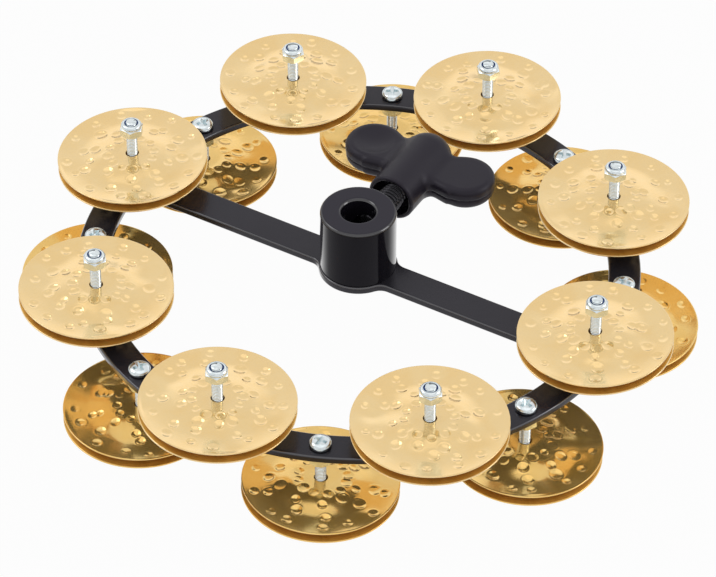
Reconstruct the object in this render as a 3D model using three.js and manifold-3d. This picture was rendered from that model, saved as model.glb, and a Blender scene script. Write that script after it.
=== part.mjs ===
// Hi-hat tambourine: pairs of hammered brass jingles on a flat black ring plate, above and below it
// in turn, with a hub and a wing screw that clamp it to the pull rod of a hi-hat stand.
// Millimetres, +Z up. The origin lies on the rod's axis, level with the lowest screw ends.
// +X runs along the crossbar and +Y along the wing screw.
import * as THREE from 'three';
import { mergeVertices } from 'three/addons/utils/BufferGeometryUtils.js';
import Module from 'manifold-3d';

const wasm = await Module();
wasm.setup();

// Clearances
const SEAT = 0.3;
const HOLE_CLEARANCE = 0.3;

// Stations: the even ones carry their jingles above the plate, the odd ones below it
const STATION_COUNT = 16;
const STATION_RADIUS = 97.6;

// Ring plate with its crossbar and its round boss
const PLATE_THICKNESS = 3;
const PLATE_EDGE = 0.7;
const RING_WIDTH = 11.8;
const BAR_WIDTH = 12.8;
const BOSS_RADIUS = 14.6;
const RING_FILLET = 5;
const BOSS_FILLET = 5;

// Hub
const HUB_DIAMETER = 28;
const HUB_HEIGHT = 25;
const HUB_EDGE = 1.2;
const ROD_BORE = 12.5;
const BORE_LIP = 1;

// Jingles
const JINGLE_DIAMETER = 56;
const JINGLE_HOLE = 5;
const JINGLE_SHEET = 0.6;
const JINGLE_DOME = 1.7;
const JINGLE_CROWN_RADIUS = 8.6;
const DIMPLE_DEPTH = 0.9;
const INNER_DIMPLE_CIRCLE = 21.5;
const OUTER_DIMPLE_CIRCLE = 48.5;

// Jingle screws, their jam nuts and their lock nuts
const SCREW_DIAMETER = 4.1;
const SCREW_LENGTH = 29;
const SCREW_TIP = 0.5;
const HEAD_DIAMETER = 8;
const HEAD_HEIGHT = 2.4;
const HEAD_EDGE = 0.9;
const NUT_ACROSS_FLATS = 7.94;
const JAM_NUT_HEIGHT = 4;
const LOCK_NUT_HEIGHT = 4.8;
const LOCK_NUT_COLLAR = 1.3;
const COLLAR_DIAMETER = 7.2;
const COLLAR_EDGE = 0.5;
const UPPER_TIP_STANDS_OUT = 0.5;
const LOWER_TIP_STANDS_OUT = 1.7;

// Clamp screw and its moulded wing
const CLAMP_AXIS_ABOVE_PLATE = 13.4;
const CLAMP_SCREW_DIAMETER = 9.5;
const CLAMP_TIP = 1.2;
const CLAMP_SCREW_IN_WING = 22;
const WING_TO_HUB = 9.4;
const BARREL_DIAMETER = 18.6;
const BARREL_LENGTH = 36;
const BARREL_DOME = 10;
const BARREL_EDGE = 0.8;
const RECESS_DIAMETER = 15.2;
const RECESS_DEPTH = 3;
const LOBE_RADIUS = 11;
const LOBE_OFFSET = 19.3;
const LOBE_THICKNESS = 9;
const LOBE_EDGE = 2.2;
const LOBE_FROM_BARREL_END = 22;
const NECK_NEAR = 14;
const NECK_FAR = 6;
const NECK_HALF_WIDTH = 7;
const LOBE_WRAP = 0.17;
const THUMB_DISH_RADIUS = 7.5;
const THUMB_DISH_DEPTH = 1.2;

// Steps round each kind of curve
const RING_STEPS = 48;
const RIM_STEPS = 20;
const HUB_STEPS = 24;
const HUB_EDGE_STEPS = 2;
const BARREL_STEPS = 20;
const BARREL_DOME_STEPS = 4;
const CLAMP_STEPS = 16;
const HEAD_STEPS = 10;
const SHANK_STEPS = 8;
const LOBE_STEPS = 8;
const DISH_STEPS = 4;
const FILLET_STEPS = 3;
const HEXAGON = 6;

// Points closer than this are one point
const SAME_POINT = 1e-5;

// Heights that follow from the sizes above
const PLATE_TOP = SCREW_LENGTH;
const PLATE_BOTTOM = PLATE_TOP - PLATE_THICKNESS;
const RIM_GAP = 2 * DIMPLE_DEPTH + SEAT;
const PAIR_HALF_HEIGHT = RIM_GAP / 2 + JINGLE_DOME + JINGLE_SHEET;
const CLAMP_AXIS = PLATE_TOP + CLAMP_AXIS_ABOVE_PLATE;
const WING_START = HUB_DIAMETER / 2 + WING_TO_HUB;

// Finishes
const POWDER_COAT = { color: 0x17171a, roughness: 0.42, metalness: 0 };
const GLOSS_BLACK = { color: 0x0e0e10, roughness: 0.25, metalness: 0 };
const BLACK_STEEL = { color: 0x141416, roughness: 0.35, metalness: 0.6 };
const RUBBER_TOUCH = { color: 0x1d1d20, roughness: 0.6, metalness: 0 };
const ZINC = { color: 0xc9d2d6, roughness: 0.25, metalness: 1 };
const BRASS = { color: 0xe0b464, roughness: 0.28, metalness: 1 };

// Solids: from closed geometry to something that can be cut, joined and shown

function toSolid(geometry) {
  const bare = geometry.clone();
  bare.deleteAttribute('normal');
  bare.deleteAttribute('uv');
  const merged = mergeVertices(bare, SAME_POINT);
  const vertProperties = new Float32Array(merged.attributes.position.array);
  const triVerts = new Uint32Array(merged.index.array);
  const solid = new wasm.Manifold(new wasm.Mesh({ numProp: 3, vertProperties, triVerts }));
  return solid;
}

function toGeometry(solid) {
  const { vertProperties, triVerts } = solid.getMesh();
  const geometry = new THREE.BufferGeometry();
  geometry.setAttribute('position', new THREE.BufferAttribute(new Float32Array(vertProperties), 3));
  geometry.setIndex(new THREE.BufferAttribute(new Uint32Array(triVerts), 1));
  return geometry;
}

function join(...geometries) {
  return toGeometry(geometries.map(toSolid).reduce((whole, next) => whole.add(next)));
}

function cut(geometry, ...tools) {
  return toGeometry(tools.map(toSolid).reduce((whole, tool) => whole.subtract(tool), toSolid(geometry)));
}

function addMesh(parent, name, geometry, finish) {
  const mesh = new THREE.Mesh(geometry, new THREE.MeshStandardMaterial(finish));
  mesh.name = name;
  parent.add(mesh);
  return mesh;
}

// Turned pieces stand on the Z axis. A profile is a list of radius and height, from low to high outside
function turned(profile, steps) {
  const points = profile.map(([radius, height]) => new THREE.Vector2(radius, height));
  return new THREE.LatheGeometry(points, steps).rotateX(Math.PI / 2);
}

function cylinder(radius, from, to, steps) {
  return turned([[0, from], [radius, from], [radius, to], [0, to]], steps);
}

function hexagonalPrism(acrossFlats, from, to) {
  const cornerRadius = acrossFlats / 2 / Math.cos(Math.PI / HEXAGON);
  return cylinder(cornerRadius, from, to, HEXAGON);
}

function arc(centreX, centreY, radius, from, to, steps) {
  return Array.from({ length: steps + 1 }, (_, step) => {
    const angle = from + (to - from) * step / steps;
    return new THREE.Vector2(centreX + radius * Math.cos(angle), centreY + radius * Math.sin(angle));
  });
}

// Outline of the gap on one side of the crossbar: ring inside, fillets, bar edge and boss
function gapOutline(side) {
  const inner = STATION_RADIUS - RING_WIDTH / 2;
  const edge = BAR_WIDTH / 2;
  const ringFilletY = edge + RING_FILLET;
  const ringFilletX = Math.sqrt((inner - RING_FILLET) ** 2 - ringFilletY ** 2);
  const ringTurn = Math.atan2(ringFilletY, ringFilletX);
  const bossFilletY = edge + BOSS_FILLET;
  const bossFilletX = Math.sqrt((BOSS_RADIUS + BOSS_FILLET) ** 2 - bossFilletY ** 2);
  const bossTurn = Math.atan2(bossFilletY, bossFilletX);
  const down = -Math.PI / 2;
  const innerSteps = Math.round(RING_STEPS * (1 - 2 * ringTurn / Math.PI) / 2);
  const points = [
    ...arc(ringFilletX, ringFilletY, RING_FILLET, down, ringTurn, FILLET_STEPS),
    ...arc(0, 0, inner, ringTurn, Math.PI - ringTurn, innerSteps).slice(1, -1),
    ...arc(-ringFilletX, ringFilletY, RING_FILLET, Math.PI - ringTurn, Math.PI - down, FILLET_STEPS),
    ...arc(-bossFilletX, bossFilletY, BOSS_FILLET, down, -bossTurn, FILLET_STEPS),
    ...arc(0, 0, BOSS_RADIUS, Math.PI - bossTurn, bossTurn, HUB_STEPS / 4).slice(1, -1),
    ...arc(bossFilletX, bossFilletY, BOSS_FILLET, Math.PI + bossTurn, Math.PI - down, FILLET_STEPS),
  ];
  return points.map((point) => new THREE.Vector2(point.x * side, point.y * side));
}

function framePlate() {
  const outer = STATION_RADIUS + RING_WIDTH / 2;
  const outline = new THREE.Shape(arc(0, 0, outer, 0, 2 * Math.PI, RING_STEPS).slice(0, -1));
  outline.holes = [1, -1].map((side) => new THREE.Path(gapOutline(side)));
  const plate = new THREE.ExtrudeGeometry(outline, {
    depth: PLATE_THICKNESS - 2 * PLATE_EDGE,
    bevelThickness: PLATE_EDGE,
    bevelSize: PLATE_EDGE,
    bevelOffset: -PLATE_EDGE,
    bevelSegments: 1,
  });
  plate.translate(0, 0, PLATE_BOTTOM + PLATE_EDGE);
  const above = PLATE_TOP + PLATE_THICKNESS;
  const below = PLATE_BOTTOM - PLATE_THICKNESS;
  const rodHole = cylinder(ROD_BORE / 2, below, above, HUB_STEPS);
  const screwHoles = stations().map(({ angle }) => {
    const hole = cylinder(SCREW_DIAMETER / 2 + HOLE_CLEARANCE, below, above, SHANK_STEPS);
    return hole.translate(STATION_RADIUS, 0, 0).rotateZ(angle);
  });
  return cut(plate, rodHole, ...screwHoles);
}

function hub() {
  const bore = ROD_BORE / 2;
  const outside = HUB_DIAMETER / 2;
  const edge = arc(outside - HUB_EDGE, HUB_HEIGHT - HUB_EDGE, HUB_EDGE, 0, Math.PI / 2, HUB_EDGE_STEPS);
  const profile = [
    [bore, SEAT],
    [outside, SEAT],
    ...edge.map(({ x, y }) => [x, y]),
    [bore + BORE_LIP, HUB_HEIGHT],
    [bore, HUB_HEIGHT - BORE_LIP],
    [bore, SEAT],
  ];
  const body = turned(profile, HUB_STEPS).translate(0, 0, PLATE_TOP);
  const screwHole = cylinder(CLAMP_SCREW_DIAMETER / 2 + HOLE_CLEARANCE, 0, HUB_DIAMETER, CLAMP_STEPS);
  return cut(body, screwHole.rotateX(-Math.PI / 2).translate(0, 0, CLAMP_AXIS));
}

// The clamp screw lies along Y. Its end is level with the wall of the bore
function clampScrew() {
  const radius = CLAMP_SCREW_DIAMETER / 2;
  const from = ROD_BORE / 2 + SEAT;
  const to = WING_START + RECESS_DEPTH + CLAMP_SCREW_IN_WING;
  const profile = [
    [0, from],
    [radius - CLAMP_TIP, from],
    [radius, from + CLAMP_TIP],
    [radius, to],
    [0, to],
  ];
  return turned(profile, CLAMP_STEPS).rotateX(-Math.PI / 2).translate(0, 0, CLAMP_AXIS);
}

function wingBarrel() {
  const radius = BARREL_DIAMETER / 2;
  const dome = arc(0, 0, 1, 0, Math.PI / 2, BARREL_DOME_STEPS).slice(0, -1);
  const domeStart = BARREL_LENGTH - BARREL_DOME;
  return turned([
    [0, 0],
    [radius - BARREL_EDGE, 0],
    [radius, BARREL_EDGE],
    ...dome.map(({ x, y }) => [radius * x, domeStart + BARREL_DOME * y]),
    [0, BARREL_LENGTH],
  ], BARREL_STEPS);
}

// The two lobes and the neck between them are one flat slab with rounded edges
function wingLobes() {
  const from = -Math.PI / 2 - LOBE_WRAP;
  const to = Math.PI / 2 + 2 * LOBE_WRAP;
  const half = arc(LOBE_OFFSET, 0, LOBE_RADIUS, from, to, LOBE_STEPS);
  half.push(new THREE.Vector2(NECK_HALF_WIDTH, NECK_FAR));
  const mirrored = half.map(({ x, y }) => new THREE.Vector2(-x, y)).reverse();
  const nearNeck = [-NECK_HALF_WIDTH, NECK_HALF_WIDTH].map((x) => new THREE.Vector2(x, -NECK_NEAR));
  const slab = new THREE.ExtrudeGeometry(new THREE.Shape([...half, ...mirrored, ...nearNeck]), {
    depth: LOBE_THICKNESS - 2 * LOBE_EDGE,
    bevelThickness: LOBE_EDGE,
    bevelSize: LOBE_EDGE,
    bevelOffset: -LOBE_EDGE,
    bevelSegments: 2,
  });
  return slab.translate(0, 0, LOBE_EDGE - LOBE_THICKNESS / 2);
}

// The dish for the thumb is cut with the underside of a large ball
function thumbDish() {
  const ball = (THUMB_DISH_RADIUS ** 2 + THUMB_DISH_DEPTH ** 2) / 2 / THUMB_DISH_DEPTH;
  const rimTurn = Math.asin(THUMB_DISH_RADIUS / ball);
  const underside = Array.from({ length: DISH_STEPS + 1 }, (_, step) => {
    const turn = 2 * rimTurn * step / DISH_STEPS;
    return [ball * Math.sin(turn), -ball * Math.cos(turn)];
  });
  const profile = [...underside, [0, underside.at(-1)[1]]];
  const centreHeight = LOBE_THICKNESS / 2 - THUMB_DISH_DEPTH + ball;
  return turned(profile, BARREL_STEPS).translate(-LOBE_OFFSET, 0, centreHeight);
}

function wingHandle() {
  const lobeY = WING_START + LOBE_FROM_BARREL_END;
  const barrel = wingBarrel().rotateX(-Math.PI / 2).translate(0, WING_START, 0);
  const lobes = wingLobes().translate(0, lobeY, 0);
  const dish = thumbDish().translate(0, lobeY, 0);
  const socketEnd = WING_START + RECESS_DEPTH + CLAMP_SCREW_IN_WING + SEAT;
  const socketRadius = CLAMP_SCREW_DIAMETER / 2 + HOLE_CLEARANCE;
  const socket = cylinder(socketRadius, 0, socketEnd, CLAMP_STEPS).rotateX(-Math.PI / 2);
  const recess = cylinder(RECESS_DIAMETER / 2, 0, WING_START + RECESS_DEPTH, BARREL_STEPS);
  const body = cut(join(barrel, lobes), dish, socket, recess.rotateX(-Math.PI / 2));
  return body.translate(0, 0, CLAMP_AXIS);
}

// Jingles: a thin dished sheet, hammered from outside so that its dimples stand out inside.
// Height of the sheet over its rim: flat crown, sloping middle and flat border
function domeHeight(radius) {
  const slope = THREE.MathUtils.smoothstep(radius, JINGLE_CROWN_RADIUS, OUTER_DIMPLE_CIRCLE / 2);
  return JINGLE_DOME * (1 - slope);
}

function jingleRing(radius, count, dimpleDepth) {
  return Array.from({ length: count }, (_, index) => {
    const angle = 2 * Math.PI * index / count;
    const pressed = index % 2 === 0 ? dimpleDepth : 0;
    const height = domeHeight(radius) - pressed;
    return { angle, point: [radius * Math.cos(angle), radius * Math.sin(angle), height] };
  });
}

// Triangles between two rings of points that may differ in number, as indices into the two rings
function stitch(inner, outer) {
  const triangles = [];
  let low = 0;
  let high = 0;
  const angleAt = (ring, index) => (index < ring.length ? ring[index].angle : 2 * Math.PI);
  while (low < inner.length || high < outer.length) {
    const a = inner[low % inner.length];
    const b = outer[high % outer.length];
    const nextInner = angleAt(inner, low + 1);
    const nextOuter = angleAt(outer, high + 1);
    const stepOuter = high < outer.length && (low >= inner.length || nextOuter <= nextInner);
    if (stepOuter) {
      high += 1;
      triangles.push([a, b, outer[high % outer.length]]);
    } else {
      low += 1;
      triangles.push([a, b, inner[low % inner.length]]);
    }
  }
  return triangles;
}

// The sheet with its inside at height 0 along the rim. It bulges up, or down when side is -1
function jingle(side) {
  const rings = [
    jingleRing(JINGLE_HOLE / 2, SHANK_STEPS, 0),
    jingleRing(INNER_DIMPLE_CIRCLE / 2, RIM_STEPS / 2, DIMPLE_DEPTH / 2),
    jingleRing(OUTER_DIMPLE_CIRCLE / 2, RIM_STEPS, DIMPLE_DEPTH),
    jingleRing(JINGLE_DIAMETER / 2, RIM_STEPS, 0),
  ];
  const positions = [];
  const addTriangle = (...corners) => {
    const ordered = side > 0 ? corners : corners.reverse();
    ordered.forEach(([x, y, z]) => positions.push(x, y, z * side));
  };
  const raised = ([x, y, z]) => [x, y, z + JINGLE_SHEET];
  rings.slice(1).forEach((outer, index) => {
    stitch(rings[index], outer).forEach((corners) => {
      const [a, b, c] = corners.map(({ point }) => point);
      addTriangle(raised(a), raised(b), raised(c));
      addTriangle(c, b, a);
    });
  });
  [rings[0], rings.at(-1)].forEach((ring, ringIndex) => {
    ring.forEach(({ point }, index) => {
      const next = ring[(index + 1) % ring.length].point;
      const [from, to] = ringIndex === 0 ? [next, point] : [point, next];
      addTriangle(from, to, raised(to));
      addTriangle(from, raised(to), raised(from));
    });
  });
  const geometry = new THREE.BufferGeometry();
  geometry.setAttribute('position', new THREE.Float32BufferAttribute(positions, 3));
  return mergeVertices(geometry, SAME_POINT);
}

// Screw hardware. Each piece stands with its head down and its tip up, from the head's underside
function screwWithHead() {
  const radius = HEAD_DIAMETER / 2;
  const head = turned([
    [0, -HEAD_HEIGHT - SEAT],
    [radius - HEAD_EDGE, -HEAD_HEIGHT - SEAT],
    [radius, -HEAD_HEIGHT - SEAT + HEAD_EDGE],
    [radius, -SEAT],
    [0, -SEAT],
  ], HEAD_STEPS);
  const shank = turned([
    [0, -HEAD_HEIGHT],
    [SCREW_DIAMETER / 2, -HEAD_HEIGHT],
    [SCREW_DIAMETER / 2, SCREW_LENGTH - SCREW_TIP],
    [SCREW_DIAMETER / 2 - SCREW_TIP, SCREW_LENGTH],
    [0, SCREW_LENGTH],
  ], SHANK_STEPS);
  return join(head, shank);
}

function jamNut() {
  const from = PLATE_THICKNESS + SEAT;
  return hexagonalPrism(NUT_ACROSS_FLATS, from, from + JAM_NUT_HEIGHT - SEAT);
}

function lockNut(tipStandsOut) {
  const top = SCREW_LENGTH - tipStandsOut;
  const bottom = top - LOCK_NUT_HEIGHT;
  const radius = COLLAR_DIAMETER / 2;
  const collar = turned([
    [0, bottom],
    [radius, bottom],
    [radius, top - COLLAR_EDGE],
    [radius - COLLAR_EDGE, top],
    [0, top],
  ], HEAD_STEPS);
  return join(hexagonalPrism(NUT_ACROSS_FLATS, bottom, top - LOCK_NUT_COLLAR), collar);
}

function looseLockNut(tipStandsOut) {
  const bore = cylinder(SCREW_DIAMETER / 2 + HOLE_CLEARANCE, 0, 2 * SCREW_LENGTH, SHANK_STEPS);
  return cut(lockNut(tipStandsOut), bore);
}

function stations() {
  return Array.from({ length: STATION_COUNT }, (_, index) => ({
    angle: 2 * Math.PI * index / STATION_COUNT,
    number: Math.floor(index / 2) + 1,
    isUpper: index % 2 === 0,
  }));
}

// An upper screw comes up through the plate, and its jingles rest on its jam nut
function addUpperStation(group, number) {
  const screw = join(screwWithHead(), jamNut());
  screw.translate(0, 0, PLATE_BOTTOM);
  const nut = looseLockNut(UPPER_TIP_STANDS_OUT).translate(0, 0, PLATE_BOTTOM);
  const middle = PLATE_TOP + JAM_NUT_HEIGHT + SEAT + PAIR_HALF_HEIGHT;
  addMesh(group, `upper_screw_${number}`, screw, ZINC);
  addMesh(group, `upper_lock_nut_${number}`, nut, ZINC);
  addPair(group, `upper_${number}`, middle);
}

// A lower screw hangs from the plate, and its jingles rest on its lock nut, made in one with it here
function addLowerStation(group, number) {
  const screw = join(screwWithHead(), jamNut(), lockNut(LOWER_TIP_STANDS_OUT));
  screw.rotateX(Math.PI).translate(0, 0, PLATE_TOP);
  const lockNutTop = LOWER_TIP_STANDS_OUT + LOCK_NUT_HEIGHT;
  addMesh(group, `lower_screw_${number}`, screw, ZINC);
  addPair(group, `lower_${number}`, lockNutTop + SEAT + PAIR_HALF_HEIGHT);
}

// The two jingles of a pair mirror each other, and their outer dimples keep the rims apart
function addPair(group, name, middle) {
  addMesh(group, `${name}_bottom_jingle`, jingle(-1), BRASS).position.z = middle - RIM_GAP / 2;
  addMesh(group, `${name}_top_jingle`, jingle(1), BRASS).position.z = middle + RIM_GAP / 2;
}

const tambourine = new THREE.Group();
addMesh(tambourine, 'frame_plate', framePlate(), POWDER_COAT);
addMesh(tambourine, 'hub', hub(), GLOSS_BLACK);
addMesh(tambourine, 'clamp_screw', clampScrew(), BLACK_STEEL);
addMesh(tambourine, 'wing_handle', wingHandle(), RUBBER_TOUCH);

stations().forEach(({ angle, number, isUpper }) => {
  const turn = new THREE.Group();
  turn.rotation.z = angle;
  const seat = new THREE.Group();
  seat.position.x = STATION_RADIUS;
  turn.add(seat);
  tambourine.add(turn);
  if (isUpper) {
    addUpperStation(seat, number);
  } else {
    addLowerStation(seat, number);
  }
});

export default tambourine;
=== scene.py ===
# %% [markdown]
# # A hi-hat tambourine in hammered brass and black steel
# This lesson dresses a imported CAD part. The frame brings every solid at its real size and place, and
# the cells below build each piece of the real object around it. Everything is in metres, with the pull
# rod's axis along Z, the crossbar along X and the clamp screw along Y.

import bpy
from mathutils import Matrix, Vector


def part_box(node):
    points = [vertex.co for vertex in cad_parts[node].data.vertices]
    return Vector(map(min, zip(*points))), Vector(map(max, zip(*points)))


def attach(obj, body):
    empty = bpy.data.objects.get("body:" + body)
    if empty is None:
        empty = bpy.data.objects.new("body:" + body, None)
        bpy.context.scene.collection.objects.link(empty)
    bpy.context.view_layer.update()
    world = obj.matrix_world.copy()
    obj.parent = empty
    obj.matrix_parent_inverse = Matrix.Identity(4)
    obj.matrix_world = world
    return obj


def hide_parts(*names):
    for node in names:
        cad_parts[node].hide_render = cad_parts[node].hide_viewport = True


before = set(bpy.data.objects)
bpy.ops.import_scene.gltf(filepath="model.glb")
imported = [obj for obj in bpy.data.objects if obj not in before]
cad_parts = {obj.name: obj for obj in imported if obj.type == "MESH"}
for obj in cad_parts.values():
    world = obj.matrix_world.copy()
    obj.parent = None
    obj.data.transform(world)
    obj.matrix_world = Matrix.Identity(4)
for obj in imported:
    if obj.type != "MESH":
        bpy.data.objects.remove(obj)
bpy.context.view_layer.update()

import math

import bmesh
import bpy
import numpy as np
from mathutils import Matrix, Vector

MM = 0.001
scene = bpy.context.scene
scene.view_settings.view_transform = "Standard"

# %% [markdown]
# ## Where things are
# Sizes and places come from the frame, so nothing has to be fitted by eye. A screw's solid is the same
# all round, so the middle of its box is its axis. The plate's box gives the two faces that the heads
# and nuts sit on.

# %% Read the places from the frame
STATION_NUMBERS = range(1, 9)
plate_low, plate_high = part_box("frame_plate")
PLATE_TOP = plate_high.z
PLATE_BOTTOM = plate_low.z


def axis_of(node):
    low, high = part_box(node)
    return Vector(((low.x + high.x) / 2, (low.y + high.y) / 2, 0))


STATION_RADIUS = axis_of("upper_screw_1").length
print("station radius:", round(STATION_RADIUS / MM, 2), "mm, plate top:", round(PLATE_TOP / MM, 2), "mm")

# %% [markdown]
# ## The camera
# A long lens from far away flattens the view, which is how catalogue pictures are taken. The camera
# stands 41.7 degrees above the table and looks at a point near the middle of the part. The turn is
# counted from straight in front of the crossbar.

# %% Place the camera
CAMERA_TURN = math.radians(30.04)
CAMERA_HEIGHT = math.radians(41.69)
CAMERA_ROLL = math.radians(0.272)
CAMERA_DISTANCE = 1.4811
CAMERA_TARGET = Vector((0, 0, 16.1 * MM))
CAMERA_LENS = 202.1
SENSOR_WIDTH = 36
NEAREST_SEEN = 0.01
FARTHEST_SEEN = 100


def direction_from(turn, height):
    level = math.cos(height)
    return Vector((math.sin(turn) * level, -math.cos(turn) * level, math.sin(height)))


def add_camera():
    data = bpy.data.cameras.new("camera")
    data.lens = CAMERA_LENS
    data.sensor_width = SENSOR_WIDTH
    data.clip_start = NEAREST_SEEN
    data.clip_end = FARTHEST_SEEN
    camera = bpy.data.objects.new("camera", data)
    scene.collection.objects.link(camera)
    back = direction_from(CAMERA_TURN, CAMERA_HEIGHT)
    turn = back.to_track_quat("Z", "Y").to_matrix().to_4x4()
    roll = Matrix.Rotation(CAMERA_ROLL, 4, "Z")
    camera.matrix_world = Matrix.Translation(CAMERA_TARGET + back * CAMERA_DISTANCE) @ turn @ roll
    scene.camera = camera
    return camera


camera = add_camera()
print("camera at", [round(value, 3) for value in camera.matrix_world.translation], "m")

# %% [markdown]
# ## Small helpers
# Most pieces here are turned, so most meshes are rings of points round an axis. One helper joins rings
# into faces, one makes the object, and one hangs the piece on what it rides on and hides the part it
# replaces.

# %% Helpers for meshes and pieces
SHARP_EDGE = math.radians(32)
MERGE_DISTANCE = 0.001 * MM


def circle_steps(count):
    return np.arange(count) * 2 * math.pi / count


def grid_faces(rows, columns, close_rows=False):
    row_count = rows if close_rows else rows - 1
    faces = []
    for row in range(row_count):
        upper = (row + 1) % rows * columns
        lower = row * columns
        for column in range(columns):
            following = (column + 1) % columns
            faces.append((lower + column, lower + following, upper + following, upper + column))
    return faces


def shade(mesh, sharp=SHARP_EDGE):
    mesh.shade_smooth()
    if sharp:
        mesh.set_sharp_from_angle(angle=sharp)


def merge_points(mesh):
    """Merges points that lie together and makes every face point outwards."""
    work = bmesh.new()
    work.from_mesh(mesh)
    bmesh.ops.remove_doubles(work, verts=work.verts, dist=MERGE_DISTANCE)
    bmesh.ops.recalc_face_normals(work, faces=work.faces)
    work.to_mesh(mesh)
    work.free()


def make_mesh(name, vertices, faces, sharp=SHARP_EDGE, merge=False):
    mesh = bpy.data.meshes.new(name)
    mesh.from_pydata([tuple(vertex) for vertex in vertices], [], faces)
    if merge:
        merge_points(mesh)
    else:
        mesh.validate()
    shade(mesh, sharp)
    return mesh


def ring_mesh(name, rings, steps, sharp=SHARP_EDGE, close=False):
    """Joins rings of radius and height round Z. A radius is one number or one for each step."""
    angles = circle_steps(steps)
    vertices = []
    for radius, height in rings:
        radii = np.broadcast_to(radius, angles.shape)
        vertices += [(r * math.cos(a), r * math.sin(a), height) for r, a in zip(radii, angles)]
    return make_mesh(name, vertices, grid_faces(len(rings), steps, close), sharp, merge=True)


def add_object(name, mesh, material=None, matrix=None):
    """Puts a mesh, or a curve, in the scene."""
    piece = bpy.data.objects.new(name, mesh)
    scene.collection.objects.link(piece)
    if material:
        mesh.materials.append(material)
    if matrix is not None:
        piece.matrix_world = matrix
    return piece


def join_frame(piece, body, node):
    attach(piece, body)
    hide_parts(node)
    return piece


# %% Helpers for round corners, cuts and even shading
def corner(centre_radius, centre_height, radius, start, end, steps):
    """A rounded corner of a turned profile, from one angle to another, in degrees."""
    turns = [math.radians(start + (end - start) * step / steps) for step in range(steps + 1)]
    return [(centre_radius + radius * math.cos(t), centre_height + radius * math.sin(t)) for t in turns]


def applied_mesh(piece):
    """The mesh that a piece has after its modifiers, or that a curve draws."""
    bpy.context.view_layer.update()
    evaluated = piece.evaluated_get(bpy.context.evaluated_depsgraph_get())
    return bpy.data.meshes.new_from_object(evaluated)


def carve(piece, *tools):
    """Cuts tools out of a piece and applies the result, so that no modifier is left."""
    for tool in tools:
        cut = piece.modifiers.new("cut", "BOOLEAN")
        cut.operation = "DIFFERENCE"
        cut.solver = "EXACT"
        cut.object = tool
    mesh = applied_mesh(piece)
    piece.modifiers.clear()
    piece.data = mesh
    for tool in tools:
        bpy.data.objects.remove(tool)
    shade(mesh)
    return piece


def even_shading(piece):
    """Wide flat faces set the shading of the narrow rounded edges beside them."""
    weighted = piece.modifiers.new("even_shading", "WEIGHTED_NORMAL")
    weighted.keep_sharp = True


# %% [markdown]
# ## Node trees in a few words
# A material is a small network. These helpers add a node, do a sum, fade between two levels and mix.
# What goes into a helper is either a number or another node's output, so a chain of nodes reads like a
# formula and each material stays short.

# %% Helpers for node trees
def empty_tree(owner):
    owner.use_nodes = True
    owner.node_tree.nodes.clear()
    return owner.node_tree


def add_node(tree, kind, **settings):
    node = tree.nodes.new(kind)
    for name, value in settings.items():
        if name in node.inputs:
            node.inputs[name].default_value = value
        else:
            setattr(node, name, value)
    return node


def plug(tree, socket, source):
    """Gives an input a number or the output of another node."""
    if isinstance(source, bpy.types.NodeSocket):
        tree.links.new(source, socket)
    else:
        socket.default_value = source


def feed(tree, node, **sources):
    """Plugs a source into each named input, written with low lines for spaces."""
    for name, source in sources.items():
        plug(tree, node.inputs[name.replace("_", " ")], source)


def calculate(tree, operation, *sources):
    node = add_node(tree, "ShaderNodeMath", operation=operation)
    for socket, source in zip(node.inputs, sources):
        plug(tree, socket, source)
    return node.outputs[0]


def fade(tree, value, low, high, first=0, last=1, interpolation="SMOOTHSTEP"):
    """Goes from first to last while the value goes from low to high, with soft ends if not told otherwise."""
    node = add_node(tree, "ShaderNodeMapRange", interpolation_type=interpolation)
    feed(tree, node, Value=value, From_Min=low, From_Max=high, To_Min=first, To_Max=last)
    return node.outputs["Result"]


def blend(tree, kind, share, first, second):
    """Mixes two numbers, with the kind FLOAT, or two colours, with the kind RGBA."""
    node = add_node(tree, "ShaderNodeMix", data_type=kind)
    feed(tree, node, Factor=share, A=first, B=second)
    return node.outputs["Result"]


def new_group(name, inputs, output):
    group = bpy.data.node_groups.new(name, "ShaderNodeTree")
    for label, value in inputs.items():
        socket = group.interface.new_socket(label, in_out="INPUT", socket_type="NodeSocketFloat")
        socket.default_value = value
    group.interface.new_socket(output, in_out="OUTPUT", socket_type="NodeSocketFloat")
    return group, group.nodes.new("NodeGroupInput").outputs, group.nodes.new("NodeGroupOutput").inputs


def place_group(tree, group, **values):
    """Places a group with its own values and gives its one output."""
    node = add_node(tree, "ShaderNodeGroup", node_tree=group)
    feed(tree, node, **values)
    return node.outputs[0]


def colour(red, green, blue):
    return (red, green, blue, 1)


def grey(level):
    return colour(level, level, level)


# %% [markdown]
# ## The studio
# The object stands on white paper under soft light. The paper glows white to the camera and to
# reflections, and a small share of it is ordinary paper, so the object's soft shadow stays. Polished
# metal needs something to reflect that isn't the same in every direction, so the sky is in levels: dark
# at the horizon, a bright band above it, dimmer higher up and bright again overhead.

# %% White floor that keeps a soft shadow
FLOOR_SIZE = 12
FLOOR_WHITE = 1.0
PAPER_SHARE = 0.03
PAPER_WHITE = 0.32


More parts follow.
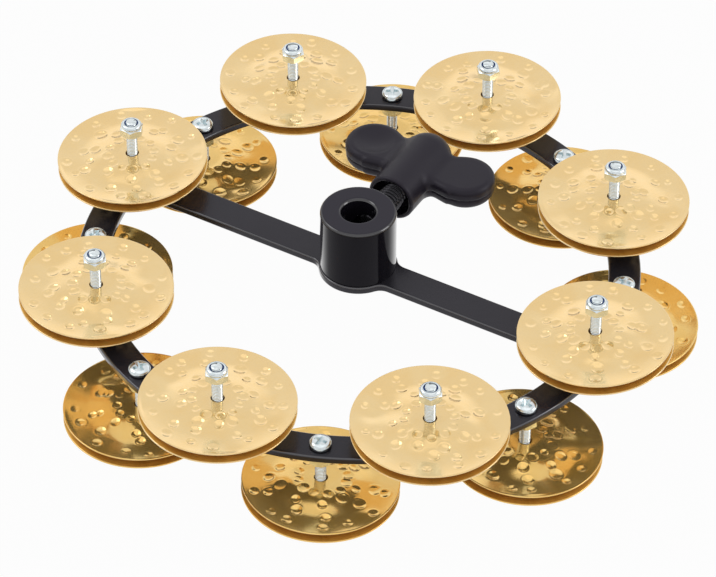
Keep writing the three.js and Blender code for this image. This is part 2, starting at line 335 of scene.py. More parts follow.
def paper_material():
    material = bpy.data.materials.new("white_paper")
    tree = empty_tree(material)
    paper = add_node(tree, "ShaderNodeBsdfDiffuse", Color=grey(PAPER_WHITE))
    glow = add_node(tree, "ShaderNodeEmission", Color=grey(1), Strength=FLOOR_WHITE)
    path = add_node(tree, "ShaderNodeLightPath").outputs
    seen = calculate(tree, "MAXIMUM", path["Is Camera Ray"], path["Is Glossy Ray"])
    seen_through = calculate(tree, "MAXIMUM", seen, path["Is Transmission Ray"])
    mix = add_node(tree, "ShaderNodeMixShader")
    tree.links.new(calculate(tree, "MULTIPLY", seen_through, 1 - PAPER_SHARE), mix.inputs["Fac"])
    tree.links.new(paper.outputs[0], mix.inputs[1])
    tree.links.new(glow.outputs[0], mix.inputs[2])
    output = add_node(tree, "ShaderNodeOutputMaterial")
    tree.links.new(mix.outputs[0], output.inputs["Surface"])
    return material


def add_floor():
    half = FLOOR_SIZE / 2
    corners = [(-half, -half, 0), (half, -half, 0), (half, half, 0), (-half, half, 0)]
    mesh = make_mesh("floor", corners, [(0, 1, 2, 3)], sharp=None)
    add_object("floor", mesh, paper_material())


add_floor()
print("floor:", FLOOR_SIZE, "m of paper, of which", PAPER_SHARE, "takes a shadow")

# %% Sky of the studio
# Brightness by the height of the direction, as its sine, from the horizon to straight overhead
SKY_LEVELS = (
    (0.0, 0.32), (0.19, 0.42),
    (0.28, 1.10), (0.46, 1.06), (0.56, 0.95),
    (0.65, 0.83), (0.76, 0.82), (0.90, 0.82),
    (0.94, 1.08), (0.985, 1.1), (1.0, 1.05),
)
CAMERA_SIDE_TURN = math.radians(30)
CAMERA_SIDE_LIGHT = 0.92
CAMERA_SIDE_FROM = -0.15
CAMERA_SIDE_TO = 0.45


def add_sky():
    """The levels all round, a little dimmer on the camera's side."""
    world = bpy.data.worlds.new("studio")
    scene.world = world
    tree = empty_tree(world)
    direction = add_node(tree, "ShaderNodeTexCoord").outputs["Generated"]
    split = add_node(tree, "ShaderNodeSeparateXYZ")
    tree.links.new(direction, split.inputs[0])
    ramp = add_node(tree, "ShaderNodeValToRGB")
    stops = ramp.color_ramp.elements
    while len(stops) < len(SKY_LEVELS):
        stops.new(1)
    for stop, (height, level) in zip(stops, SKY_LEVELS):
        stop.position = height
        stop.color = grey(level)
    tree.links.new(split.outputs["Z"], ramp.inputs["Fac"])
    towards = add_node(tree, "ShaderNodeVectorMath", operation="DOT_PRODUCT")
    towards.inputs[1].default_value = direction_from(CAMERA_SIDE_TURN, 0)
    tree.links.new(direction, towards.inputs[0])
    side = fade(tree, towards.outputs["Value"], CAMERA_SIDE_FROM, CAMERA_SIDE_TO, 1, CAMERA_SIDE_LIGHT)
    sky = add_node(tree, "ShaderNodeBackground")
    feed(tree, sky, Color=ramp.outputs["Color"], Strength=side)
    output = add_node(tree, "ShaderNodeOutputWorld")
    tree.links.new(sky.outputs[0], output.inputs["Surface"])


add_sky()


# %% Soft boxes
def add_soft_box(name, turn, height, distance, width, length, brightness):
    """A rectangular lamp that faces the object. Brightness is what a mirror would see in it."""
    data = bpy.data.lights.new(name, "AREA")
    data.shape = "RECTANGLE"
    data.size = width
    data.size_y = length
    data.energy = brightness * math.pi * width * length
    lamp = bpy.data.objects.new(name, data)
    scene.collection.objects.link(lamp)
    towards = direction_from(math.radians(turn), math.radians(height))
    facing = towards.to_track_quat("Z", "Y").to_matrix().to_4x4()
    lamp.matrix_world = Matrix.Translation(towards * distance) @ facing


add_soft_box("right_box", turn=112, height=28, distance=0.9, width=0.35, length=0.45, brightness=2.2)
add_soft_box("left_box", turn=-75, height=50, distance=1.0, width=0.4, length=0.4, brightness=1.8)
print("two soft boxes, and a sky in", len(SKY_LEVELS), "levels")

# %% [markdown]
# ## Effects that several finishes share
# Real surfaces are never quite even. Three groups give that once, and each material places them with
# its own values. "Faint grain" is a fine height for a bump. "Handling" is a soft mask of smudges and
# wiped places, which a material mixes into its colour and roughness. "Rounded rim" finds the narrow
# edges between a level face and an upright one, where a coat of paint lies thick and catches the light.

# %% Faint grain group
COARSE_SCALE = 0.22


def build_grain_group():
    group, given, result = new_group("faint_grain", {"Grain Scale": 900, "Coarse Share": 0.4}, "Height")
    place = add_node(group, "ShaderNodeTexCoord").outputs["Object"]
    fine = add_node(group, "ShaderNodeTexNoise", Detail=3, Roughness=0.6)
    coarse = add_node(group, "ShaderNodeTexNoise", Detail=2, Roughness=0.5)
    larger = calculate(group, "MULTIPLY", given["Grain Scale"], COARSE_SCALE)
    feed(group, fine, Vector=place, Scale=given["Grain Scale"])
    feed(group, coarse, Vector=place, Scale=larger)
    height = blend(group, "FLOAT", given["Coarse Share"], fine.outputs["Fac"], coarse.outputs["Fac"])
    group.links.new(height, result["Height"])
    return group


FAINT_GRAIN = build_grain_group()


# %% Handling group
def build_handling_group():
    """Noise seen through a window round its middle value. Softness is how wide the window is."""
    group, given, result = new_group("handling", {"Patch Scale": 60, "Softness": 0.25}, "Mask")
    patches = add_node(group, "ShaderNodeTexNoise", Detail=4, Roughness=0.62, Distortion=0.6)
    place = add_node(group, "ShaderNodeTexCoord").outputs["Object"]
    feed(group, patches, Vector=place, Scale=given["Patch Scale"])
    low = calculate(group, "MULTIPLY_ADD", given["Softness"], -0.5, 0.5)
    high = calculate(group, "MULTIPLY_ADD", given["Softness"], 0.5, 0.5)
    group.links.new(fade(group, patches.outputs["Fac"], low, high), result["Mask"])
    return group


HANDLING = build_handling_group()

# %% Rounded rim group
# How far a surface looks up or down, from 0 on a side to 1 on a level face: where the rim starts and ends
RIM_LEAVES_SIDE = (0.15, 0.45)
RIM_MEETS_TOP = (0.98, 0.80)


def looks_up(tree):
    """1 on a level top, 0 on an upright side and -1 on a level underside."""
    split = add_node(tree, "ShaderNodeSeparateXYZ")
    tree.links.new(add_node(tree, "ShaderNodeNewGeometry").outputs["Normal"], split.inputs[0])
    return split.outputs["Z"]


def build_rim_group():
    group, given, result = new_group("rounded_rim", {"Rim Share": 1.0}, "Mask")
    level = calculate(group, "ABSOLUTE", looks_up(group))
    off_side = fade(group, level, *RIM_LEAVES_SIDE)
    off_top = fade(group, level, *RIM_MEETS_TOP)
    rim = calculate(group, "MULTIPLY", off_side, off_top)
    group.links.new(calculate(group, "MULTIPLY", rim, given["Rim Share"]), result["Mask"])
    return group


ROUNDED_RIM = build_rim_group()
print("effects:", ", ".join(group.name for group in bpy.data.node_groups))

# %% [markdown]
# ## Finishes
# Nine finishes cover the whole object. Three are brass: polished and lacquered on the upper jingles,
# browner with painted shade and a thinner lacquer on the lower ones, and raw inside every jingle. The
# others are zinc plate, blue nylon, powder coat, gloss black, blackened steel and a dry rubbery moulding.
# They differ in numbers more than in kind, so one helper makes them all: two tones and two roughnesses
# that follow the handling, and a faint grain. Colours are what the metal or the paint reflects, except
# the painted shade in the lower jingles' brass and the painted light on the hub's level top.

# %% One recipe for every finish
EDGE_FROM = 0.50
EDGE_TO = 0.80
EDGE_ROUGHNESS = 0.08
# Where level tops start to get their painted top light, by how far the surface looks up
PAINTED_TOP_FROM = 0.8
BLACK_TINT = colour(0.92, 0.89, 1.0)


def coat_edges(tree, shader, coat_ior, rim_share):
    """A clear coat that counts on rounded rims and where the surface turns away from the eye."""
    facing = add_node(tree, "ShaderNodeLayerWeight", Blend=0.5).outputs["Facing"]
    turned_away = fade(tree, facing, EDGE_FROM, EDGE_TO)
    rim = place_group(tree, ROUNDED_RIM, Rim_Share=rim_share)
    most = calculate(tree, "MAXIMUM", turned_away, rim)
    feed(tree, shader, Coat_Weight=most, Coat_IOR=coat_ior, Coat_Roughness=EDGE_ROUGHNESS)


def make_finish(name, patches, tones, roughness, grain, bump, scuffs=None, edge=None, painted_top_light=None, **surface):
    """Patches and scuffs are a scale and a softness, and grain is a scale and a share of coarse grain.

    Scuffs vary the roughness alone. An edge is the clear coat's index of refraction and its share on
    rounded rims. The colour given for level tops is painted light from above. The rest goes straight to
    the shader.
    """
    material = bpy.data.materials.new(name)
    tree = empty_tree(material)
    shader = add_node(tree, "ShaderNodeBsdfPrincipled")
    output = add_node(tree, "ShaderNodeOutputMaterial")
    tree.links.new(shader.outputs["BSDF"], output.inputs["Surface"])
    feed(tree, shader, **surface)
    if edge:
        coat_edges(tree, shader, *edge)
    mask = place_group(tree, HANDLING, Patch_Scale=patches[0], Softness=patches[1])
    base = blend(tree, "RGBA", mask, *tones)
    # Level tops get a lighter colour here: painted light from above, not a layer on the surface
    if painted_top_light:
        base = blend(tree, "RGBA", fade(tree, looks_up(tree), PAINTED_TOP_FROM, 1), base, painted_top_light)
    if scuffs:
        mask = place_group(tree, HANDLING, Patch_Scale=scuffs[0], Softness=scuffs[1])
    level = fade(tree, mask, 0, 1, *roughness, interpolation="LINEAR")
    height = place_group(tree, FAINT_GRAIN, Grain_Scale=grain[0], Coarse_Share=grain[1])
    relief = add_node(tree, "ShaderNodeBump", Distance=bump)
    feed(tree, relief, Height=height)
    feed(tree, shader, Base_Color=base, Roughness=level, Normal=relief.outputs["Normal"])
    return material


# %% Brass of the jingles
POLISHED = {
    "patches": (75, 0.5), "scuffs": (5200, 0.4), "roughness": (0.08, 0.20), "grain": (1700, 0.55),
    "bump": 0.014 * MM, "Metallic": 0.80, "Coat_IOR": 1.9, "Coat_Roughness": 0.12,
}
BRASS = {
    "upper": make_finish(
        "hammered_brass", tones=(colour(0.945, 0.680, 0.295), colour(0.930, 0.625, 0.225)),
        Coat_Weight=1.0, **POLISHED,
    ),
    # The lower jingles' tones are browner than the upper ones: painted shade from the plate above them, not a
    # different brass
    "lower": make_finish(
        "shaded_brass", tones=(colour(0.965, 0.650, 0.205), colour(0.945, 0.585, 0.140)),
        Coat_Weight=0.45, **POLISHED,
    ),
}
# The inside of a jingle isn't polished, so it scatters more light
RAW_BRASS = make_finish(
    "raw_brass", tones=(colour(0.860, 0.520, 0.110), colour(0.640, 0.330, 0.050)), patches=(120, 0.6),
    roughness=(0.38, 0.5), grain=(2400, 0.3), bump=0.03 * MM, Metallic=0.55,
)

# %% Zinc plate and blue nylon of the screws and nuts
ZINC = make_finish(
    "bright_zinc", tones=(colour(0.86, 0.915, 0.935), colour(0.70, 0.77, 0.785)), patches=(420, 0.5),
    roughness=(0.14, 0.24), grain=(4200, 0.3), bump=0.02 * MM, Metallic=1.0,
)
NYLON = make_finish(
    "blue_nylon", tones=(colour(0.012, 0.055, 0.26), colour(0.02, 0.09, 0.36)), patches=(700, 0.6),
    roughness=(0.3, 0.42), grain=(5000, 0.3), bump=0.02 * MM,
)

# %% Powder coat of the plate and gloss black of the hub
# Both are darkest seen from straight on, and their clear coat shows at rims and at a low angle
POWDER_COAT = make_finish(
    "powder_coat", tones=(colour(0.0125, 0.0115, 0.0150), colour(0.015, 0.014, 0.018)),
    patches=(45, 0.6), roughness=(0.20, 0.27), grain=(1500, 0.5), bump=0.03 * MM, edge=(2.0, 0.8),
    Specular_IOR_Level=0.4, Specular_Tint=BLACK_TINT,
)
# The hub's level top is painted a lighter colour than its sides: painted light from above
GLOSS_BLACK = make_finish(
    "gloss_black", tones=(colour(0.0062, 0.0054, 0.0084), colour(0.0074, 0.0066, 0.0096)),
    patches=(90, 0.6), roughness=(0.10, 0.16), grain=(700, 0.6), bump=0.02 * MM, edge=(2.4, 0.5),
    painted_top_light=colour(0.033, 0.031, 0.0395), Specular_IOR_Level=0.12, Specular_Tint=BLACK_TINT,
)

# %% Blackened steel of the clamp screw and dry moulding of the wing handle
BLACK_STEEL = make_finish(
    "blackened_steel", tones=(colour(0.010, 0.010, 0.011), colour(0.018, 0.018, 0.020)), patches=(300, 0.5),
    roughness=(0.10, 0.18), grain=(2500, 0.4), bump=0.02 * MM,
    Specular_IOR_Level=0.55, Specular_Tint=BLACK_TINT,
)
MOULDING = make_finish(
    "dry_moulding", tones=(colour(0.0104, 0.0082, 0.0136), colour(0.0138, 0.0114, 0.0174)),
    patches=(110, 0.55), roughness=(0.36, 0.46), grain=(2600, 0.35), bump=0.04 * MM,
    Specular_IOR_Level=0.32, Specular_Tint=BLACK_TINT,
)
FINISHES = (*BRASS.values(), RAW_BRASS, ZINC, NYLON, POWDER_COAT, GLOSS_BLACK, BLACK_STEEL, MOULDING)
print(len(FINISHES), "finishes:", ", ".join(material.name for material in FINISHES))

# %% [markdown]
# ## The jingles
# A jingle is a thin brass sheet, dished over a form and then hammered by hand from outside. The form
# leaves a flat crown with a plain seat for the nut, a gentle slope and a flat border whose rim bends
# away a little. The hammer leaves four rough rings of marks, an even one round the crown and looser ones
# further out, and the blows leave low waves in the sheet. Noise on a shader can't show this, because a
# mirror shows every slope, so marks and waves are real geometry. Each jingle has its own from its own
# seed, and comes out the same on every run.

# %% Sizes of a jingle
JINGLE_RADIUS = 28 * MM
JINGLE_HOLE = 2.5 * MM
JINGLE_SHEET = 0.6 * MM
JINGLE_DOME = 1.7 * MM
NUT_SEAT = 5.2 * MM
CROWN_RADIUS = 8 * MM
SLOPE_END = 20 * MM
FLARE_START = 19.5 * MM
RIM_FLARE = {"top": 0.75 * MM, "bottom": 0.4 * MM}
RIM_ROUND = 0.22 * MM
SHEET_STEP = 0.36 * MM
INSIDE_STEP = 2.2 * MM
JINGLE_COLUMNS = 288
JINGLE_SHARP = math.radians(50)

# %% The hammer's rings
# Count of marks, radius of the ring, half width and depth of a mark, how far a mark strays from the
# ring, and how far it strays along it as a share of the way to the next one. Whole rings shift a little
# too, and blows lean this way and that, which makes one side of a mark deeper
MARK_RINGS = (
    (12, 8.9 * MM, 1.85 * MM, 0.34 * MM, 0.25 * MM, 0.12),
    (10, 13.6 * MM, 1.95 * MM, 0.38 * MM, 0.9 * MM, 0.25),
    (10, 18.6 * MM, 2.0 * MM, 0.38 * MM, 0.9 * MM, 0.25),
    (14, 23.6 * MM, 1.7 * MM, 0.34 * MM, 0.6 * MM, 0.25),
)
RING_SHIFT = 0.35 * MM
MARK_WIDTHS = (0.8, 1.2)
MARK_DEPTHS = (0.7, 1.15)
MARK_TO_RIM = 1.4 * MM
MARK_LEAN = 0.5
LEAN_TURNS = 7


def hammer_marks(random):
    """Places of the marks as rows of x, y, half width, depth and which way the blow leaned."""
    marks = []
    for count, ring_radius, ring_width, ring_depth, spread, wander in MARK_RINGS:
        shift = random.normal(0, RING_SHIFT, 2)
        start = random.uniform(0, 2 * math.pi)
        for index in range(count):
            turn = start + 2 * math.pi * (index + wander * random.uniform(-1, 1)) / count
            radius = ring_radius + random.normal(0, spread)
            width = ring_width * random.uniform(*MARK_WIDTHS)
            radius = min(radius, JINGLE_RADIUS - width - MARK_TO_RIM)
            depth = ring_depth * random.uniform(*MARK_DEPTHS)
            centre = (radius * math.cos(turn) + shift[0], radius * math.sin(turn) + shift[1])
            blow = np.array([math.cos(turn * LEAN_TURNS), math.sin(turn * LEAN_TURNS)])
            marks.append((*centre, width, depth, *(random.uniform(0, MARK_LEAN) * blow)))
    return marks


print(sum(ring[0] for ring in MARK_RINGS), "hammer marks on each jingle")

# %% The waves that the blows leave
RIPPLE_COUNT = 30
RIPPLE_REACH = 22 * MM
RIPPLE_WIDTH = 4.2 * MM
RIPPLE_WIDTHS = (0.7, 1.3)
RIPPLE_DEPTH = 0.34 * MM


def sheet_ripples(random):
    """Places of the waves as rows of x, y, half width and height, up or down."""
    return [
        (*random.uniform(-RIPPLE_REACH, RIPPLE_REACH, 2), RIPPLE_WIDTH * random.uniform(*RIPPLE_WIDTHS),
         RIPPLE_DEPTH * random.uniform(-1, 1))
        for _ in range(RIPPLE_COUNT)
    ]


# %% Height of the sheet at any point
# A mark is a bowl with a low brim, whose place and width are shares of the mark's half width
BOWL_POWER = 2.5
BRIM_PLACE = 1.1
BRIM_WIDTH = 0.16
BRIM_HEIGHT = 0.16
PLAIN_RIM = 0.5 * MM
MARKS_FADE = 1.6 * MM


def smooth_step(value, low, high):
    share = np.clip((value - low) / (high - low), 0, 1)
    return share * share * (3 - 2 * share)


def sheet_height(x, y, marks, ripples, flare):
    """Height of the hammered sheet over its lowest ring, on the outside."""
    radius = np.hypot(x, y)
    height = JINGLE_DOME * (1 - smooth_step(radius, CROWN_RADIUS, SLOPE_END))
    height += flare * np.clip((radius - FLARE_START) / (JINGLE_RADIUS - FLARE_START), 0, None) ** 2
    inside_rim = 1 - smooth_step(radius, JINGLE_RADIUS - MARKS_FADE, JINGLE_RADIUS - PLAIN_RIM)
    off_seat = smooth_step(radius, NUT_SEAT, CROWN_RADIUS)
    change = np.zeros_like(height)
    for centre_x, centre_y, width, depth, lean_x, lean_y in marks:
        across, along = (x - centre_x) / width, (y - centre_y) / width
        share = np.hypot(across, along)
        bowl = np.clip(1 - share ** BOWL_POWER, 0, None) * (1 + lean_x * across + lean_y * along)
        brim = np.exp(-((share - BRIM_PLACE) / BRIM_WIDTH) ** 2)
        change += depth * (BRIM_HEIGHT * brim - bowl)
    for centre_x, centre_y, width, depth in ripples:
        change += off_seat * depth * np.exp(-((x - centre_x) ** 2 + (y - centre_y) ** 2) / width ** 2)
    return height + inside_rim * change


# %% Build one jingle
def jingle_rows():
    """Radius and place across the sheet of each row, from the hole over the outside and back inside."""
    edge = JINGLE_RADIUS - RIM_ROUND
    outside = np.linspace(JINGLE_HOLE, edge, round((edge - JINGLE_HOLE) / SHEET_STEP) + 1)
    inside = np.linspace(edge, JINGLE_HOLE, round((edge - JINGLE_HOLE) / INSIDE_STEP) + 1)
    rows = [(radius, 1.0) for radius in outside]
    share = RIM_ROUND / JINGLE_SHEET
    for middle, turns in ((1 - share, (60, 30, 0)), (share, (0, -30, -60))):
        for angle in map(math.radians, turns):
            rows.append((edge + RIM_ROUND * math.cos(angle), middle + share * math.sin(angle)))
    return rows + [(radius, 0.0) for radius in inside]


JINGLE_ROWS = jingle_rows()
JINGLE_FACES = grid_faces(len(JINGLE_ROWS), JINGLE_COLUMNS, close_rows=True)


def jingle_mesh(name, seed, side, flare, brass):
    random = np.random.default_rng(seed)
    marks = hammer_marks(random)
    ripples = sheet_ripples(random)
    radii, across = np.array(JINGLE_ROWS).T
    angles = circle_steps(JINGLE_COLUMNS)
    x = radii[:, None] * np.cos(angles)
    y = radii[:, None] * np.sin(angles)
    z = sheet_height(x, y, marks, ripples, flare) + JINGLE_SHEET * across[:, None]
    vertices = np.stack([x, y, z * side], axis=-1).reshape(-1, 3)
    faces = JINGLE_FACES if side > 0 else [face[::-1] for face in JINGLE_FACES]
    mesh = make_mesh(name, vertices, faces, JINGLE_SHARP)
    mesh.materials.append(brass)
    mesh.materials.append(RAW_BRASS)
    inside = np.repeat(across <= 0, JINGLE_COLUMNS)
    mesh.polygons.foreach_set("material_index", inside.astype(np.int32))
    return mesh


# %% How the pairs hang
# A pair is loose on its screw and never lies quite level. Degrees of lean towards the camera's side and
# to its right, station by station, as read from the picture. The lower pairs lean a little less than
# they do there, so that the sheets stay clear of the nuts when a pair opens
PAIR_LEANS = {
    "upper": ((0, 1.6), (0.6, 0), (0, 1.0), (0.8, -1.4), (0.2, 1.7), (0, -1.0), (-0.9, -1.3), (0.4, 0)),
    "lower": (
        (0.5, -1.2), (-1.0, 0.3), (0, 0.6), (-1.5, -0.9), (0, 0.6), (0, 0), (-1.7, -2.2), (-0.6, -2.6),
    ),
}


def pair_lean(level, number):
    near, right = PAIR_LEANS[level][number - 1]
    right_axis = Vector((math.cos(CAMERA_TURN), math.sin(CAMERA_TURN), 0))
    near_axis = Vector((math.sin(CAMERA_TURN), -math.cos(CAMERA_TURN), 0))
    lean_near = Matrix.Rotation(math.radians(near), 4, right_axis)
    lean_right = Matrix.Rotation(math.radians(right), 4, near_axis)
    return lean_near @ lean_right


# %% Place the sixteen pairs
STATION_SEED = 100
SEED_OF_LEVEL = {"upper": 10, "lower": 20}
SEED_OF_PLACE = {"top": 1, "bottom": 2}


def pair_middle(level, number):
    """A pair leans about the point halfway between its two crowns."""
    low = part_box(f"{level}_{number}_bottom_jingle")[0].z
    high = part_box(f"{level}_{number}_top_jingle")[1].z
    return (low + high) / 2


def place_jingle(level, number, place, lean):
    """A jingle's crown touches the far face of its solid's box, which gives its height."""
    node = f"{level}_{number}_{place}_jingle"
    low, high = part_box(node)
    side = 1 if place == "top" else -1
    crown = high.z if side > 0 else low.z
    seed = STATION_SEED * number + SEED_OF_LEVEL[level] + SEED_OF_PLACE[place]
    mesh = jingle_mesh(f"{node}_sheet", seed, side, RIM_FLARE[place], BRASS[level])
    centre = axis_of(f"{level}_screw_{number}")
    centre.z = crown - side * (JINGLE_DOME + JINGLE_SHEET)
    middle = Matrix.Translation((centre.x, centre.y, pair_middle(level, number)))
    matrix = middle @ lean @ middle.inverted() @ Matrix.Translation(centre)
    join_frame(add_object(f"{node}_sheet", mesh, None, matrix), node, node)


for number in STATION_NUMBERS:
    for level in ("upper", "lower"):
        for place in ("bottom", "top"):
            place_jingle(level, number, place, pair_lean(level, number))
print(4 * len(STATION_NUMBERS), "jingles with", len(JINGLE_ROWS) * JINGLE_COLUMNS, "points each")

# %% [markdown]
# ## Screws
# The jingle screws are ordinary machine screws with a domed head and a cross recess. The thread can be
# built as a grid: the radius at any point follows from its height and its angle, which makes a true
# helix with no seam. The head is turned, and its recess is cut with two wedges.

# %% Sizes of a screw
SCREW_RADIUS = 2.05 * MM
SCREW_PITCH = 0.7 * MM
SCREW_THREAD = 0.24 * MM
SCREW_TIP = 0.15 * MM
SCREW_SEAT = 0.3 * MM
SCREW_LENGTH = 29 * MM
FLANK_FROM = 0.1
FLANK_TO = 0.95
THREAD_SHARP = math.radians(60)


def thread_depth(height, angle, pitch, depth):
    """How far below the crest the thread's surface lies, rounded at the root."""
    place = np.mod(height / pitch - angle / (2 * math.pi), 1)
    flank = np.abs(place * 2 - 1)
    return depth * smooth_step(flank, FLANK_FROM, FLANK_TO)


def threaded_rod(name, radius, start, end, pitch, depth, columns, rows_per_turn, first_cone=0, last_cone=0):
    """A rod along Z with a helical thread and coned ends."""
    heights = np.append(np.arange(start, end, pitch / rows_per_turn), end)
    angles = circle_steps(columns)
    radii = radius - thread_depth(heights[:, None], angles[None, :], pitch, depth)
    last = radius - np.clip(last_cone - (end - heights), 0, None)
    first = radius - np.clip(first_cone - (heights - start), 0, None)
    radii = np.minimum(radii, np.minimum(first, last)[:, None])
    z = np.broadcast_to(heights[:, None], radii.shape)
    rows = np.stack([radii * np.cos(angles), radii * np.sin(angles), z], axis=-1).reshape(-1, 3)
    faces = grid_faces(len(heights), columns)
    start_point, end_point = len(rows), len(rows) + 1
    last_row = len(rows) - columns
    for column in range(columns):
        following = (column + 1) % columns
        faces.append((following, column, start_point))
        faces.append((last_row + column, last_row + following, end_point))
    return make_mesh(name, [*rows, (0, 0, start), (0, 0, end)], faces, THREAD_SHARP)


# %% Turn the domed head and cut its cross
HEAD_RADIUS = 4.0 * MM
HEAD_HEIGHT = 2.4 * MM
HEAD_SIDE = 1.1 * MM
HEAD_EDGE = 0.15 * MM
DOME_POWER = 0.62
DOME_STEPS = 8
RECESS_LENGTH = 2.9 * MM
RECESS_WIDTH = 0.78 * MM
RECESS_DEPTH = 1.7 * MM
RECESS_ABOVE = 0.4 * MM
RECESS_TAPER = (0.42, 0.55)
RECESS_TURN = 20


def recess_wedge(turn):
    """A wedge that is long and wide above the head's top and small at its bottom."""
    ends = ((RECESS_LENGTH, RECESS_WIDTH, RECESS_ABOVE),
            (RECESS_LENGTH * RECESS_TAPER[0], RECESS_WIDTH * RECESS_TAPER[1], -RECESS_DEPTH))
    vertices = [(x * length, y * width, z) for length, width, z in ends for x in (-1, 1) for y in (-1, 1)]
    faces = [(0, 1, 3, 2), (4, 6, 7, 5), (0, 4, 5, 1), (2, 3, 7, 6), (0, 2, 6, 4), (1, 5, 7, 3)]
    mesh = make_mesh("recess_wedge", vertices, faces, sharp=None, merge=True)
    matrix = Matrix.Translation((0, 0, HEAD_HEIGHT)) @ Matrix.Rotation(math.radians(turn), 4, "Z")
    return add_object("recess_wedge", mesh, None, matrix)


def head_mesh():
    """The head stands on its flat underside, with its dome up."""
    profile = [(0, 0), (HEAD_RADIUS - HEAD_EDGE, 0), (HEAD_RADIUS, HEAD_EDGE)]
    for step in range(DOME_STEPS):
        turn = math.pi / 2 * step / DOME_STEPS
        rise = (HEAD_HEIGHT - HEAD_SIDE) * math.sin(turn)
        profile.append((HEAD_RADIUS * math.cos(turn) ** DOME_POWER, HEAD_SIDE + rise))
    profile.append((0, HEAD_HEIGHT))
    head = add_object("head", ring_mesh("screw_head", profile, steps=40), ZINC)
    carve(head, recess_wedge(RECESS_TURN), recess_wedge(RECESS_TURN + 90))
    mesh = head.data
    bpy.data.objects.remove(head)
    return mesh


HEAD_MESH = head_mesh()
SHANK_MESH = threaded_rod(
    "screw_shank", SCREW_RADIUS, SCREW_SEAT, SCREW_LENGTH, SCREW_PITCH, SCREW_THREAD,
    columns=20, rows_per_turn=6, last_cone=SCREW_TIP,
)
print("head:", len(HEAD_MESH.polygons), "faces, shank:", len(SHANK_MESH.polygons), "faces")

# %% [markdown]
# ## Nuts
# A nut is a hexagonal bar whose ends are chamfered on a lathe, so its corners are cut by a cone and its
# flats end in arcs. That is one rule: at each height the outline is the hexagon or the cone, whichever
# is smaller. The lock nut goes on into a domed collar that is rolled over a ring of blue nylon.

# %% Nut outline from one rule
NUT_ACROSS_FLATS = 7.94 * MM
NUT_COLUMNS = 60
NUT_BORE = 2.0 * MM
BORE_CHAMFER = 0.3 * MM
CHAMFER_SLOPE = math.tan(math.radians(32))
CHAMFER_START = 3.85 * MM
CHAMFER_STEPS = 5
NUT_SHARP = math.radians(24)


def nut_sides(height):
    """Rings up the side of the hexagon, which a cone cuts at both ends."""
    sector = math.pi / 3
    hexagon = NUT_ACROSS_FLATS / 2 / np.cos(np.mod(circle_steps(NUT_COLUMNS), sector) - sector / 2)
    reach = NUT_ACROSS_FLATS / math.sqrt(3) - CHAMFER_START
    shares = np.linspace(0, 1, CHAMFER_STEPS + 1)
    cone = [(CHAMFER_START + reach * share, reach * CHAMFER_SLOPE * share) for share in shares]
    limits = cone + [(limit, height - above) for limit, above in cone[::-1]]
    return [(np.minimum(hexagon, limit), place) for limit, place in limits]


def bore_rings(top):
    """Rings down the bore, which is chamfered at the bottom."""
    return [(NUT_BORE, top), (NUT_BORE, BORE_CHAMFER), (NUT_BORE + BORE_CHAMFER, 0)]


# %% Jam nut and lock nut
JAM_NUT_HEIGHT = 3.7 * MM
LOCK_NUT_HEIGHT = 4.8 * MM
COLLAR_HEIGHT = 1.6 * MM
COLLAR_ROUND = 1.25 * MM
COLLAR_NECK = 0.25 * MM
NECK_HEIGHT = 0.1 * MM
COLLAR_RADIUS = 3.88 * MM
COLLAR_LIP = 2.55 * MM
LIP_RETURN = 0.35 * MM
LIP_TAPER = (0.02 * MM, 0.05 * MM)


def jam_nut_mesh():
    rings = bore_rings(JAM_NUT_HEIGHT - BORE_CHAMFER) + nut_sides(JAM_NUT_HEIGHT)
    rings.append((NUT_BORE + BORE_CHAMFER, JAM_NUT_HEIGHT))
    return ring_mesh("jam_nut", rings, NUT_COLUMNS, NUT_SHARP, close=True)


def lock_nut_mesh():
    shoulder = LOCK_NUT_HEIGHT - COLLAR_HEIGHT
    neck = COLLAR_RADIUS - COLLAR_NECK
    rings = bore_rings(shoulder) + nut_sides(shoulder)
    rings += [(neck, shoulder), (neck, shoulder + NECK_HEIGHT)]
    rounding = COLLAR_RADIUS - COLLAR_ROUND, LOCK_NUT_HEIGHT - COLLAR_ROUND, COLLAR_ROUND
    rings += corner(*rounding, start=-8, end=90, steps=10)
    rings.append((COLLAR_LIP - LIP_TAPER[0], LOCK_NUT_HEIGHT - LIP_RETURN))
    rings.append((COLLAR_LIP - LIP_TAPER[1], shoulder))
    return ring_mesh("lock_nut", rings, NUT_COLUMNS, NUT_SHARP, close=True)


# %% Nylon ring of the lock nut
NYLON_BELOW_TOP = 0.42 * MM
NYLON_HEIGHT = 1.0 * MM
NYLON_TO_SCREW = 0.02 * MM
NYLON_TO_COLLAR = 0.08 * MM
NYLON_OUTER_EDGE = (0.3 * MM, 0.15 * MM)
NYLON_INNER_EDGE = (0.25 * MM, 0.25 * MM)


def nylon_ring_mesh():
    """The ring stands a little below the collar's lip and grips the screw."""
    top = LOCK_NUT_HEIGHT - NYLON_BELOW_TOP
    inner = SCREW_RADIUS + NYLON_TO_SCREW
    outer = COLLAR_LIP - NYLON_TO_COLLAR
    profile = [
        (inner, top - NYLON_HEIGHT), (outer, top - NYLON_HEIGHT), (outer, top - NYLON_OUTER_EDGE[1]),
        (COLLAR_LIP - NYLON_OUTER_EDGE[0], top), (SCREW_RADIUS + NYLON_INNER_EDGE[0], top),
        (inner, top - NYLON_INNER_EDGE[1]), (inner, top - NYLON_HEIGHT),
    ]
    return ring_mesh("nylon_ring", profile, steps=40)


